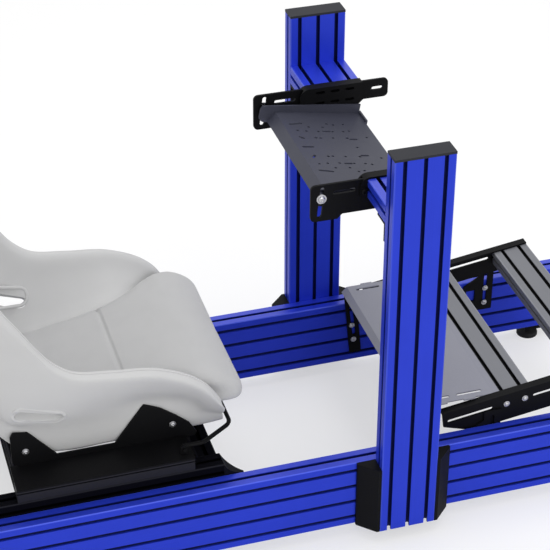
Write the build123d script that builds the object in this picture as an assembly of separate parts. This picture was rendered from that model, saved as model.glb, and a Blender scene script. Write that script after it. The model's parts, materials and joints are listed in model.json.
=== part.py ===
from build123d import *
import math
import os

# Sim racing cockpit: an open frame of slotted aluminium extrusion with a seat on slide rails,
# a tilted wheel deck between two uprights and a tilted pedal deck with a heel plate.
# Millimetres. While it is drawn, X = 0 is the rear edge of the uprights and +X runs forward to
# the pedals, Y = 0 is the centre plane and +Y is the driver's left, Z = 0 is the floor.

# Extrusion system: 40 mm pitch with 8 mm slots
pitch = 40.0
profile_corner = 1.6
slot_mouth = 8.2
slot_lip = 4.5
slot_cavity = 20.0
slot_shoulder = 2.5
slot_floor = 9.0
slot_depth = 12.5
cut_over = 5.0
core_bore = 6.8
core_bore_sides = 8
chamber_width = 14.0
chamber_wall = 5.0
cap_thickness = 5.0
hole_sides = 8

# Floor feet and base beams
foot_height = 30.0
foot_disc_diameter = 50.0
foot_disc_thickness = 9.0
foot_disc_chamfer = 3.0
foot_disc_sides = 24
foot_stem_diameter = 12.0
foot_plate_length = 70.0
foot_plate_thickness = 8.0
foot_inset = 55.0
beam_rows = 4
beam_gap = 508.0
beam_rear_x = -850.0
beam_front_x = 650.0

# Uprights and their corner brackets
upright_rows = 3
upright_top_z = 905.0
bracket_leg = 40.0
bracket_height = 160.0
bracket_wall = 6.0

# Arms, saddles and side plates that carry the wheel deck
arm_rows = 3
arm_top_z = 790.0
arm_end_y = 197.0
sheet = 4.0
side_plate_thickness = 5.0
side_plate_rear_x = -112.0
side_plate_front_x = 180.0
side_plate_corner = 10.0
side_plate_rear_drop = 78.5
side_plate_middle_drop = 69.0
side_plate_front_drop = 42.0
rear_leg_length = 54.0
front_arm_length = 54.0
front_arm_rise_run = 28.0
tilt_slot = (-91.5, 37.5, 66.0, 9.0)
tilt_slot_angle = 84.0
rear_slot = (-45.0, 20.0, 46.0, 8.0)
front_slot = (156.0, 20.0, 25.0, 8.0)
saddle_rear_x = -15.0
saddle_drop = 43.0
saddle_width = 20.0
saddle_corner = 20.0
saddle_chamfer = (16.0, 10.0)
saddle_slots_x = (28.0, 60.0, 92.0)
saddle_slots_drop = (7.0, 31.0)
saddle_slot = (20.0, 6.0)

# Wheel deck: a folded, punched tray that tilts about a bolt through the saddles
deck_tilt = 10.0
deck_length = 185.5
deck_pivot_x = -7.0
deck_pivot_drop = 24.5
deck_below_pivot = 20.3
deck_rear_overhang = 61.2
deck_lip = 26.0
deck_lip_angle = 57.0
cheek_rear_overhang = 32.0
cheek_corner = 12.0
cheek_rear_rise = 12.0
cheek_front_rise = 21.0
cheek_depth = 24.0
deck_tab_length = 46.0
deck_tab_rise = 5.0
deck_boss_diameter = 16.0
deck_boss_back = 20.0
deck_hole = 6.0
base_bolt_hole = 6.6
base_bolt_rows = (52.6, 120.1)
base_bolt_half_width = 39.5
hole_pattern_offset = 20.5
deck_holes = [
    (96.0, 101.5), (109.3, 98.0), (131.4, 100.5), (52.0, 87.0), (82.4, 86.0), (23.5, 71.0), (41.6, 68.5),
    (67.2, 67.0), (98.0, 67.7), (121.5, 68.5), (134.6, 71.4), (62.6, 38.7), (89.3, 39.6), (164.2, 44.2),
]
deck_slots = [
    (85.0, 68.5, 0.0, 19.0), (132.0, 34.8, 0.0, 19.0), (28.0, 100.0, 11.0, 32.0), (22.5, 39.5, -45.0, 14.0),
]
deck_centre_slot = (23.0, 26.0)
deck_centre_hole = 128.4

# Pedal deck and heel plate
pedal_tilt = 8.0
pedal_rear_x = 160.0
pedal_rear_z = 231.8
pedal_rail_drop = 62.0
pedal_rail_flange = 14.0
pedal_profile_rows = 2
pedal_profile_at = (120.0, 316.0)
pedal_slot_width = 8.0
pedal_slot_margin = 9.5
pedal_bracket_at = (252.0, 446.0)
pedal_bracket_strip = 38.0
pedal_bracket_arm = 35.0
pedal_bracket_slot = 90.0
pedal_bracket_step = 22.0
pedal_bracket_slope = 22.0
pedal_bracket_window = (22.0, 30.0)
pedal_bracket_window_side = 6.0
pedal_bracket_window_rise = 28.0
pedal_bracket_foot_z = 110.0
pedal_bracket_height = 114.0
heel_sheet = 3.0
heel_rear_x = 116.0
heel_overlap = 13.0
heel_side_gap = 22.0
heel_lip = 17.0
heel_tab = 4.0
heel_tab_length = 26.0
heel_tabs_at = (34.0, 96.0)
heel_slots_at = (44.0, 115.0)
heel_slot = (56.0, 7.0)
heel_slot_inset = 17.0
heel_bracket_foot_z = 53.0
heel_bracket_width = 28.0
heel_bracket_lean = 18.0
heel_bracket_joggle = 18.0
heel_bracket_slot = 80.0
heel_bracket_slot_angle = 97.0

# Seat base: side bars, cross members, slide rails and brackets
bar_rows = 2
bar_top_z = 217.0
bar_rear_x = -800.0
bar_front_x = -306.0
cross_front_x = -332.0
cross_rear_x = -690.0
rail_length = 355.0
rail_rear_x = -720.0
rail_width = 36.0
rail_wall = 2.5
rail_height = 19.0
rail_lip = 9.5
slide_clearance = 0.5
shoe_height = 9.0
rail_top_gap = 3.0
seat_flange_thickness = 4.0
seat_bracket_y = 177.0
gusset_fall = 27.0
seat_bracket_reach = (20.0, 24.0)
seat_bracket_front_rise = (8.0, 34.0, 58.0, 82.0, 99.0)
seat_bracket_front_back = (24.0, 9.0, -18.0, -49.0, -83.0)
seat_bracket_dip = (144.0, 95.0)
seat_bracket_dip_rise = 16.0
seat_bracket_rear_rise = (14.0, 76.0, 86.0, 82.0)
seat_bracket_rear_in = (5.0, 5.0, 11.0, 40.0)
seat_bracket_rear_start = 22.0
rail_side_gap = 1.0
release_pivot_x = -382.0
release_pivot_rise = 12.0
release_half_width = 224.0
release_straight = 42.0
release_splay = 46.0
release_bend = 25.0
release_tube = 9.0
release_tube_sides = 8
release_pin = 6.0
release_pin_length = 22.0
release_lug = 14.0
release_lug_rise = 7.0
pin_clearance = 0.05
release_front_x = -272.0

# Seat shell: cross-sections from the front edge, back under the hips and up to the head.
# Each is base x and z on the outside, ridge x and z, then half widths at the base, at the waist
# above the seat brackets and at the ridge, with the waist's rise from the base.
seat_wall = 8.0
seat_ridge_wall = 12.0
seat_corner = 28.0
seat_edge_round = 3.0
seat_hollow_above = 90.0
soft_clearance = 0.3
shell_sections = [
    (-282.0, 247.0, -286.0, 314.0, 164.0, 170.0, 176.0, 38.0),
    (-345.0, 247.0, -342.0, 400.0, 168.0, 172.0, 205.0, 98.0),
    (-430.0, 247.0, -425.0, 461.0, 170.0, 172.5, 227.0, 100.0),
    (-520.0, 247.0, -516.0, 476.0, 170.0, 172.5, 231.0, 100.0),
    (-610.0, 247.0, -590.0, 485.0, 170.0, 172.5, 231.0, 100.0),
    (-685.0, 262.0, -628.0, 512.0, 168.0, 172.5, 231.0, 90.0),
    (-735.0, 310.0, -652.0, 545.0, 166.0, 172.5, 232.0, 50.0),
    (-775.0, 410.0, -680.0, 592.0, 172.0, 195.0, 233.0, 60.0),
    (-812.0, 525.0, -712.0, 650.0, 178.0, 205.0, 236.0, 60.0),
    (-880.0, 730.0, -785.0, 790.0, 190.0, 225.0, 246.0, 55.0),
    (-925.0, 865.0, -822.0, 905.0, 212.0, 245.0, 264.0, 50.0),
    (-950.0, 940.0, -866.0, 972.0, 178.0, 200.0, 215.0, 40.0),
    (-985.0, 1046.0, -942.0, 1062.0, 104.0, 114.0, 122.0, 20.0),
]
lap_slot = (-660.0, 392.0, 100.0, 28.0, -18.0)
seat_split_x = -663.0
cushion_top = [(-280.0, 386.0), (-360.0, 392.0), (-473.0, 372.0), (-600.0, 346.0), (-662.0, 338.0)]
cushion_nose = [
    (-330.0, 388.0), (-292.0, 386.0), (-262.0, 374.0), (-243.0, 356.0), (-240.0, 339.0), (-251.0, 324.0),
    (-286.0, 315.0), (-330.0, 315.0),
]
nose_half_width = 186.0
back_pad_front = [
    (-664.0, 345.0), (-700.0, 430.0), (-745.0, 545.0), (-822.0, 750.0), (-870.0, 880.0), (-905.0, 965.0),
    (-935.0, 1030.0),
]

beam_depth = pitch
beam_bottom_z = foot_height
beam_height = beam_rows * pitch
beam_top_z = beam_bottom_z + beam_height
beam_inner_y = beam_gap / 2
beam_outer_y = beam_inner_y + beam_depth
beam_length = beam_front_x - beam_rear_x
upright_width = upright_rows * pitch
upright_outer_y = beam_outer_y + pitch
arm_bottom_z = arm_top_z - pitch

sides = {"left": 1, "right": -1}
nodes = {}


def slot_outline():
    """The undercut groove, mouth upwards at y = 0."""
    half_mouth, half_cavity, half_floor = slot_mouth / 2, slot_cavity / 2, slot_floor / 2
    right = [
        (half_mouth, cut_over),
        (half_mouth, -slot_lip),
        (half_cavity, -slot_lip),
        (half_cavity, -slot_lip - slot_shoulder),
        (half_floor, -slot_depth),
    ]
    left = [(-x, y) for x, y in reversed(right)]
    return make_face(Polyline(*right, *left, close=True))


def section(columns, rows):
    """Extrusion section: one slot for each 40 mm on every face, a bore behind each crossing."""
    width, height = columns * pitch, rows * pitch
    face = chamfer(Rectangle(width, height).vertices(), profile_corner)
    groove = slot_outline()
    bore = RegularPolygon(core_bore / 2, core_bore_sides)
    for i in range(columns):
        x = (i + 0.5) * pitch - width / 2
        face -= Pos(x, height / 2) * groove
        face -= Pos(x, -height / 2) * Rot(0, 0, 180) * groove
    for j in range(rows):
        y = (j + 0.5) * pitch - height / 2
        face -= Pos(width / 2, y) * Rot(0, 0, -90) * groove
        face -= Pos(-width / 2, y) * Rot(0, 0, 90) * groove
        for i in range(columns):
            face -= Pos((i + 0.5) * pitch - width / 2, y) * bore
    chamber_height = pitch - 2 * chamber_wall
    for i in range(1, columns):
        face -= Pos(i * pitch - width / 2, 0) * Rectangle(chamber_width, chamber_height)
    for j in range(1, rows):
        face -= Pos(0, j * pitch - height / 2) * Rectangle(chamber_height, chamber_width)
    return face


def sheet_xz(outline, y_from, y_to, corner=0.0):
    """A flat plate drawn in X and Z, filling y_from to y_to."""
    face = make_face(Polyline(*outline, close=True))
    if corner:
        face = fillet(face.vertices(), corner)
    return Pos(0, y_to, 0) * extrude(Plane.XZ * face, amount=y_to - y_from)


def long_hole(length, width):
    """A slot with straight sides, its round ends made of a few flats."""
    steps = hole_sides // 2
    reach = (length - width) / 2
    angles = [math.pi * i / steps - math.pi / 2 for i in range(steps + 1)]
    right = [(reach + width / 2 * math.cos(a), width / 2 * math.sin(a)) for a in angles]
    left = [(-x, -y) for x, y in right]
    return make_face(Polyline(*right, *left, close=True))


def slot_xz(x, z, length, width, angle=0.0, depth=30.0):
    """A cutter for a long hole through a plate that faces Y."""
    shape = Rot(0, 0, angle) * long_hole(length, width)
    return Pos(x, depth / 2, z) * extrude(Plane.XZ * shape, amount=depth)


def slot_xy(x, y, length, width, angle=0.0, depth=30.0):
    """A cutter for a long hole through a plate that lies flat."""
    shape = Rot(0, 0, angle) * long_hole(length, width)
    return Pos(x, y, -depth / 2) * extrude(shape, amount=depth)


def on_side(solid, sign):
    """A piece drawn on the left, kept there or mirrored to the right."""
    return solid if sign > 0 else mirror(solid, about=Plane.XZ)


def box(x_low, x_high, y_low, y_high, z_low, z_high):
    size = (x_high - x_low, y_high - y_low, z_high - z_low)
    centre = ((x_low + x_high) / 2, (y_low + y_high) / 2, (z_low + z_high) / 2)
    return Pos(*centre) * Box(*size)


def base_beams():
    for side, sign in sides.items():
        centre_y = beam_inner_y + beam_depth / 2
        beam = extrude(Plane.YZ * section(1, beam_rows), amount=beam_length)
        beam = Pos(beam_rear_x, centre_y, beam_bottom_z + beam_height / 2) * beam
        nodes[f"base_beam_{side}"] = on_side(beam, sign)
    caps = []
    for sign in sides.values():
        for x in (beam_rear_x - cap_thickness, beam_front_x):
            cap = box(x, x + cap_thickness, beam_inner_y, beam_outer_y, beam_bottom_z, beam_top_z)
            caps.append(on_side(cap, sign))
    nodes["beam_end_caps"] = Part() + caps


def levelling_feet():
    feet = []
    plates = []
    centre_y = beam_inner_y + beam_depth / 2
    plate_bottom = beam_bottom_z - foot_plate_thickness
    for sign in sides.values():
        for x, outward in ((beam_rear_x + foot_inset, -1), (beam_front_x - foot_inset, 1)):
            outline = RegularPolygon(foot_disc_diameter / 2, foot_disc_sides)
            disc = extrude(outline, amount=foot_disc_thickness)
            disc = chamfer(disc.edges().group_by(Axis.Z)[-1], foot_disc_chamfer)
            stem = extrude(RegularPolygon(foot_stem_diameter / 2, 6), amount=plate_bottom)
            feet.append(on_side(Pos(x, centre_y, 0) * (disc + stem), sign))
            end_x = x + outward * foot_inset
            low, high = sorted((end_x - outward * foot_plate_length, end_x))
            plate = box(low, high, beam_inner_y, beam_outer_y, plate_bottom, beam_bottom_z)
            plates.append(on_side(plate, sign))
    nodes["levelling_feet"] = Part() + feet
    nodes["foot_plates"] = Part() + plates


def corner_bracket():
    """Drawn at the origin: legs along +X and +Y from the inner corner, standing up Z."""
    leg, wall = bracket_leg, bracket_wall
    outline = [(0, 0), (leg, 0), (leg, wall), (wall, leg), (0, leg)]
    solid = extrude(make_face(Polyline(*outline, close=True)), amount=bracket_height)
    hollow = [
        (wall, wall),
        (leg - 2 * wall, wall),
        (wall, leg - 2 * wall),
    ]
    cut = extrude(make_face(Polyline(*hollow, close=True)), amount=bracket_height - 2 * bracket_wall)
    return solid - Pos(0, 0, bracket_wall) * cut


def uprights():
    height = upright_top_z - cap_thickness - beam_bottom_z
    centre_y = beam_outer_y + pitch / 2
    caps = []
    for side, sign in sides.items():
        post = extrude(section(upright_rows, 1), amount=height)
        post = Pos(upright_width / 2, centre_y, beam_bottom_z) * post
        nodes[f"upright_{side}"] = on_side(post, sign)
        cap = Pos(upright_width / 2, centre_y, upright_top_z - cap_thickness / 2)
        cap *= Box(upright_width, pitch, cap_thickness)
        caps.append(on_side(cap, sign))
        front = Pos(upright_width, beam_outer_y, beam_bottom_z) * corner_bracket()
        rear = Pos(0, beam_outer_y, beam_bottom_z) * mirror(corner_bracket(), about=Plane.YZ)
        nodes[f"upright_brackets_{side}"] = on_side(Part() + [front, rear], sign)
    nodes["upright_caps"] = Part() + caps


def deck_arms():
    length = beam_outer_y - arm_end_y
    for side, sign in sides.items():
        arm = extrude(Plane.XZ * section(arm_rows, 1), amount=length)
        arm = Pos(arm_rows * pitch / 2, beam_outer_y, arm_top_z - pitch / 2) * arm
        nodes[f"deck_arm_{side}"] = on_side(arm, sign)
        plate = box(0, upright_width, beam_outer_y - sheet, beam_outer_y, arm_bottom_z - pitch, arm_bottom_z)
        ledge = box(0, upright_width, beam_outer_y - pitch, beam_outer_y, arm_bottom_z - sheet, arm_bottom_z)
        nodes[f"arm_bracket_{side}"] = on_side(plate + ledge, sign)


def side_plates():
    """Slotted side plates, and folded saddles that straddle them over the ends of the arms."""
    outer = arm_end_y - sheet
    inner = outer - side_plate_thickness
    top = arm_top_z
    rear_z = top - side_plate_rear_drop
    middle_z = top - side_plate_middle_drop
    front_z = top - side_plate_front_drop
    arm_x = side_plate_front_x - front_arm_length
    outline = [
        (side_plate_rear_x, top),
        (side_plate_rear_x, rear_z),
        (side_plate_rear_x + rear_leg_length, rear_z),
        (side_plate_rear_x + rear_leg_length + middle_z - rear_z, middle_z),
        (arm_x - front_arm_rise_run, middle_z),
        (arm_x, front_z),
        (side_plate_front_x, front_z),
        (side_plate_front_x, top),
    ]
    web_rear, web_front = saddle_rear_x, upright_width
    top_z = top + sheet
    low_z = top - saddle_drop
    web = [
        (web_rear, top_z),
        (web_rear, low_z + saddle_chamfer[1]),
        (web_rear + saddle_chamfer[0], low_z),
        (web_front - saddle_chamfer[0], low_z),
        (web_front, low_z + saddle_chamfer[1]),
        (web_front, top_z),
    ]
    saddle_inner = arm_end_y - saddle_width
    for side, sign in sides.items():
        plate = sheet_xz(outline, inner, outer)
        ends = plate.edges().filter_by(Axis.Y)
        ends = ends.group_by(Axis.X)[0] + ends.group_by(Axis.X)[-1]
        plate = fillet(ends, side_plate_corner)
        slot_x, drop, length, width = tilt_slot
        plate -= Pos(0, outer, 0) * slot_xz(slot_x, top - drop, length, width, angle=tilt_slot_angle)
        for slot_x, drop, length, width in (rear_slot, front_slot):
            plate -= Pos(0, outer, 0) * slot_xz(slot_x, top - drop, length, width)
        nodes[f"deck_side_plate_{side}"] = on_side(plate, sign)
        saddle = sheet_xz(web, saddle_inner, arm_end_y)
        corner = saddle.edges().filter_by(Axis.Y).group_by(Axis.X)[0].sort_by(Axis.Z)[-1]
        saddle = fillet(corner, saddle_corner)
        saddle -= box(web_rear - cut_over, web_front + cut_over, saddle_inner + sheet, outer, 0, top)
        for x in saddle_slots_x:
            for drop in saddle_slots_drop:
                hole = slot_xz(x, top - drop, *saddle_slot, depth=2 * sheet)
                saddle -= Pos(0, saddle_inner + sheet / 2, 0) * hole
        nodes[f"deck_saddle_{side}"] = on_side(saddle, sign)


def wheel_deck():
    """Drawn about its pivot with the sheet level, then tilted and set between the saddles."""
    half = arm_end_y - saddle_width
    plate_inner = arm_end_y - sheet - side_plate_thickness
    top_z = -deck_below_pivot
    rear = -deck_rear_overhang
    front = rear + deck_length
    lip_run = deck_lip * math.cos(math.radians(deck_lip_angle))
    lip_drop = deck_lip * math.sin(math.radians(deck_lip_angle))
    profile = [
        (rear - lip_run, top_z - lip_drop),
        (rear, top_z),
        (front, top_z),
        (front, top_z - sheet),
        (rear + sheet / 2, top_z - sheet),
        (rear - lip_run + sheet, top_z - lip_drop),
    ]
    deck = sheet_xz(profile, -half, half)
    cheek_rear = rear - cheek_rear_overhang
    outline = [
        (cheek_rear, top_z + cheek_rear_rise),
        (cheek_rear, top_z - cheek_depth),
        (front, top_z - cheek_depth),
        (front, top_z + cheek_front_rise),
    ]
    for sign in sides.values():
        cheek = sheet_xz(outline, half - sheet, half)
        cheek = fillet(cheek.edges().filter_by(Axis.Y).group_by(Axis.X)[0], cheek_corner)
        low_z, high_z = top_z - cheek_depth, top_z + deck_tab_rise
        tab = box(front, front + sheet, half - deck_tab_length, half, low_z, high_z)
        boss = Pos(rear - deck_boss_back, (half + plate_inner) / 2, top_z) * Rot(90, 0, 0)
        boss *= extrude(RegularPolygon(deck_boss_diameter / 2, 6), amount=(plate_inner - half) / 2, both=True)
        deck += on_side(cheek, sign)
        deck += on_side(tab, sign)
        deck += on_side(boss, sign)
    for sign in sides.values():
        for x, y in deck_holes:
            deck -= Pos(rear + x, sign * y + hole_pattern_offset, top_z) * hole_cutter(deck_hole)
        for x in base_bolt_rows:
            bolt = Pos(rear + x, sign * base_bolt_half_width + hole_pattern_offset, top_z)
            deck -= bolt * Cylinder(base_bolt_hole / 2, 4 * sheet)
        for x, y, angle, length in deck_slots:
            place = Pos(0, hole_pattern_offset, top_z)
            deck -= place * slot_xy(rear + x, sign * y, length, deck_hole, angle * sign, 4 * sheet)
    place = Pos(0, hole_pattern_offset, top_z)
    slot_x, length = deck_centre_slot
    deck -= place * slot_xy(rear + slot_x, 0, length, deck_hole, depth=4 * sheet)
    deck -= place * Pos(rear + deck_centre_hole, 0) * hole_cutter(deck_hole)
    pivot = Pos(deck_pivot_x, 0, arm_top_z - deck_pivot_drop)
    nodes["wheel_deck"] = pivot * Rot(0, deck_tilt, 0) * deck


def hole_cutter(diameter):
    """A small round hole through a flat sheet, as a prism of a few sides."""
    return extrude(RegularPolygon(diameter / 2, hole_sides), amount=2 * sheet, both=True)


def in_pedal_frame(solid):
    """From the pedal deck's own plane (X along it, Z = 0 on top) to its tilted place."""
    return Pos(pedal_rear_x, 0, pedal_rear_z) * Rot(0, -pedal_tilt, 0) * solid


def pedal_deck():
    """Slotted side rails with a folded top flange, joined by two profiles between them."""
    outer = beam_inner_y - sheet
    inner = outer - sheet
    width = pedal_profile_rows * pitch
    rear_at, front_at = pedal_profile_at
    length = front_at + width
    slots = [
        (pedal_slot_margin, rear_at - pedal_slot_margin),
        (rear_at + width, front_at - pedal_slot_margin),
    ]
    for side, sign in sides.items():
        web = [
            (0, 0),
            (length, 0),
            (length, -pedal_rail_drop),
            (pedal_rail_drop, -pedal_rail_drop),
            (0, -pedal_rail_drop / 2),
        ]
        rail = sheet_xz(web, inner, outer)
        rail += box(0, length, inner - pedal_rail_flange, outer, 0, sheet)
        for low, high in slots:
            hole = slot_xz((low + high) / 2, -pitch / 2, high - low, pedal_slot_width)
            rail -= Pos(0, outer, 0) * hole
        nodes[f"pedal_side_rail_{side}"] = on_side(in_pedal_frame(rail), sign)
    for name, x in zip(("rear", "front"), pedal_profile_at):
        bar = extrude(Plane.XZ * section(pedal_profile_rows, 1), amount=2 * inner)
        bar = Pos(x + width / 2, inner, -pitch / 2) * bar
        nodes[f"pedal_profile_{name}"] = in_pedal_frame(bar)


def pedal_brackets():
    """A slotted upright strip with a low arm behind it, flat against the beam's inner face."""
    foot = pedal_bracket_foot_z
    wide, high = pedal_bracket_window
    top = foot + pedal_bracket_height
    for side, sign in sides.items():
        pair = []
        for x in pedal_bracket_at:
            outline = [
                (x - pedal_bracket_arm, foot),
                (x + pedal_bracket_strip, foot),
                (x + pedal_bracket_strip, top),
                (x, top),
                (x, top - pedal_bracket_step),
                (x - pedal_bracket_arm, top - pedal_bracket_step - pedal_bracket_slope),
            ]
            leg = sheet_xz(outline, beam_inner_y - sheet, beam_inner_y)
            slot_z = foot + pedal_bracket_height / 2
            slot = slot_xz(x + pedal_bracket_strip / 2, slot_z, pedal_bracket_slot, slot_mouth, angle=90)
            leg -= Pos(0, beam_inner_y, 0) * slot
            side_x = x - pedal_bracket_window_side
            low_z = foot + pedal_bracket_window_rise
            leg -= box(side_x - wide, side_x, 0, beam_outer_y, low_z, low_z + high)
            pair.append(on_side(leg, sign))
        nodes[f"pedal_brackets_{side}"] = Part() + pair


def heel_plate():
    """Level sheet behind the pedal deck; its front edge is bent up to lie on the rear profile."""
    tilt = math.radians(pedal_tilt)
    seat_x = pedal_rear_x + pedal_profile_at[0] * math.cos(tilt)
    seat_z = pedal_rear_z + pedal_profile_at[0] * math.sin(tilt)
    half_width = beam_inner_y - heel_side_gap
    run, rise = heel_overlap * math.cos(tilt), heel_overlap * math.sin(tilt)
    lip = heel_lip / math.sqrt(2)
    top = seat_z + heel_sheet
    profile = [
        (heel_rear_x - lip, top - lip),
        (heel_rear_x, top),
        (seat_x, top),
        (seat_x + run, top + rise),
        (seat_x + run, top + rise - heel_sheet),
        (seat_x, seat_z),
        (heel_rear_x + heel_sheet, seat_z),
        (heel_rear_x - lip + heel_sheet, top - lip),
    ]
    plate = sheet_xz(profile, -half_width, half_width)
    for sign in sides.values():
        for x in heel_tabs_at:
            low_x = heel_rear_x + x
            outer_y = half_width + heel_tab
            tab = box(low_x, low_x + heel_tab_length, half_width, outer_y, seat_z, top)
            plate += on_side(tab, sign)
        for x in heel_slots_at:
            hole = slot_xy(heel_rear_x + x, sign * (half_width - heel_slot_inset), *heel_slot)
            plate -= Pos(0, 0, top) * hole
    nodes["heel_plate"] = plate
    ledge_z = seat_z - heel_bracket_joggle
    riser_y = half_width - 2 * sheet
    for side, sign in sides.items():
        foot_x = heel_rear_x + heel_bracket_lean
        outline = [
            (foot_x, heel_bracket_foot_z),
            (foot_x + heel_bracket_width, heel_bracket_foot_z),
            (heel_rear_x + heel_bracket_width, ledge_z),
            (heel_rear_x, ledge_z),
        ]
        leg = sheet_xz(outline, beam_inner_y - sheet, beam_inner_y)
        slot_x = heel_rear_x + (heel_bracket_lean + heel_bracket_width) / 2
        slot_z = (heel_bracket_foot_z + ledge_z) / 2
        slot = slot_xz(slot_x, slot_z, heel_bracket_slot, slot_mouth, angle=heel_bracket_slot_angle)
        leg -= Pos(0, beam_inner_y, 0) * slot
        low_x, high_x = heel_rear_x + heel_sheet, heel_rear_x + heel_bracket_width
        ledge = box(low_x, high_x, riser_y, beam_inner_y, ledge_z, ledge_z + sheet)
        riser = box(low_x, high_x, riser_y, riser_y + sheet, ledge_z, seat_z)
        nodes[f"heel_bracket_{side}"] = on_side(leg + ledge + riser, sign)


def seat_base():
    height = bar_rows * pitch
    inner = beam_inner_y - pitch
    for side, sign in sides.items():
        bar = extrude(Plane.YZ * section(1, bar_rows), amount=bar_front_x - bar_rear_x)
        bar = Pos(bar_rear_x, beam_inner_y - pitch / 2, bar_top_z - height / 2) * bar
        nodes[f"seat_bar_{side}"] = on_side(bar, sign)
    for name, x in (("front", cross_front_x), ("rear", cross_rear_x)):
        cross = extrude(Plane.XZ * section(1, bar_rows), amount=2 * inner)
        nodes[f"seat_cross_member_{name}"] = Pos(x, inner, bar_top_z - height / 2) * cross
    gussets = []
    plan = make_face(Polyline((0, 0), (pitch, 0), (pitch, -sheet), (sheet, -pitch), (0, -pitch), close=True))
    bottom = bar_top_z - height
    fall = ThreePointArc((pitch, -gusset_fall), (0.4 * pitch, -0.75 * gusset_fall), (0, 0))
    rim = Polyline((0, 0), (0, -height), (pitch, -height), (pitch, -gusset_fall))
    side_view = make_face([rim, fall])
    for sign in sides.values():
        block = Pos(bar_front_x, beam_inner_y, bottom) * extrude(plan, amount=height)
        curve = Pos(bar_front_x, beam_inner_y, bar_top_z) * extrude(Plane.XZ * side_view, amount=pitch)
        gussets.append(on_side(block & curve, sign))
    nodes["seat_bar_brackets"] = Part() + gussets


def slide_rails():
    floor_z = bar_top_z
    centre_y = beam_inner_y - pitch / 2
    half = rail_width / 2
    rear, front = rail_rear_x, rail_rear_x + rail_length
    lip_z = floor_z + rail_height - rail_wall
    mouth = half - rail_lip
    for side, sign in sides.items():
        lower = box(rear, front, centre_y - half, centre_y + half, floor_z, floor_z + rail_height)
        cavity_half = half - rail_wall
        lower -= box(rear, front, centre_y - cavity_half, centre_y + cavity_half, floor_z + rail_wall, lip_z)
        lower -= box(rear, front, centre_y - mouth, centre_y + mouth, lip_z, floor_z + rail_height)
        nodes[f"lower_slide_rail_{side}"] = on_side(lower, sign)
        shoe_half = cavity_half - slide_clearance
        shoe_z = floor_z + rail_wall + slide_clearance
        neck_half = mouth - slide_clearance
        top_z = floor_z + rail_height + rail_top_gap
        upper = box(rear, front, centre_y - shoe_half, centre_y + shoe_half, shoe_z, shoe_z + shoe_height)
        upper += box(rear, front, centre_y - neck_half, centre_y + neck_half, shoe_z, top_z)
        upper += box(rear, front, centre_y - half, centre_y + half, top_z, top_z + seat_flange_thickness)
        nodes[f"upper_slide_rail_{side}"] = on_side(upper, sign)


def seat_brackets():
    """Angle brackets: a flange on the slide rail and a plate with two humps against the shell."""
    flange_z = bar_top_z + rail_height + rail_top_gap + seat_flange_thickness
    rear, front = rail_rear_x, rail_rear_x + rail_length
    y = seat_bracket_y
    outline = [(rear + seat_bracket_rear_start, flange_z), (front + seat_bracket_reach[0], flange_z)]
    front_hump = zip(seat_bracket_front_back, seat_bracket_front_rise)
    outline += [(front + x, flange_z + z) for x, z in front_hump]
    dip_z = flange_z + seat_bracket_dip_rise
    outline += [(front - seat_bracket_dip[0], dip_z), (rear + seat_bracket_dip[1], dip_z)]
    rear_hump = list(zip(seat_bracket_rear_in, seat_bracket_rear_rise))
    outline += [(rear + x, flange_z + z) for x, z in reversed(rear_hump)]
    for side, sign in sides.items():
        inner, outer = y - seat_flange_thickness, beam_inner_y - rail_side_gap
        flange = box(rear, front, inner, outer, flange_z, flange_z + seat_flange_thickness)
        plate = sheet_xz(outline, y - seat_flange_thickness, y)
        nodes[f"seat_bracket_{side}"] = on_side(flange + plate, sign)


def release_bar():
    """A bent tube across the front of the seat, hinged in a lug on each bracket's flange."""
    flange_top = bar_top_z + rail_height + rail_top_gap + 2 * seat_flange_thickness
    pivot_z = flange_top + release_pivot_rise
    end_y = release_half_width
    bend_x = release_pivot_x + release_straight
    splay_y = end_y - release_splay
    path = FilletPolyline(
        (release_pivot_x, end_y, pivot_z),
        (bend_x, end_y, pivot_z),
        (release_front_x, splay_y, pivot_z),
        (release_front_x, -splay_y, pivot_z),
        (bend_x, -end_y, pivot_z),
        (release_pivot_x, -end_y, pivot_z),
        radius=release_bend,
    )
    tube = RegularPolygon(release_tube / 2, release_tube_sides)
    bar = sweep(Plane(origin=path @ 0, z_dir=path % 0) * tube, path=path)
    half_lug = release_lug / 2
    ear_y = end_y + half_lug
    for side, sign in sides.items():
        hinge = Pos(release_pivot_x, sign * (end_y + release_pin_length / 4), pivot_z) * Rot(90, 0, 0)
        bar += hinge * Cylinder(release_pin / 2, release_pin_length)
        low_x, high_x = release_pivot_x - half_lug, release_pivot_x + half_lug
        ear = box(low_x, high_x, ear_y, ear_y + sheet, flange_top, pivot_z + release_lug_rise)
        bore = Pos(release_pivot_x, ear_y + sheet / 2, pivot_z) * Rot(90, 0, 0)
        ear -= bore * Cylinder(release_pin / 2 + pin_clearance, 3 * sheet)
        nodes[f"release_lugs_{side}"] = on_side(ear, sign)
    nodes["release_bar"] = bar


def shell_plane(place):
    """The plane of one cross-section: Y across, and up from the base to the ridge."""
    base_x, base_z, ridge_x, ridge_z = place[:4]
    return Plane(
        origin=(base_x, 0, base_z),
        x_dir=(0, 1, 0),
        z_dir=(ridge_z - base_z, 0, base_x - ridge_x),
    )


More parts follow.
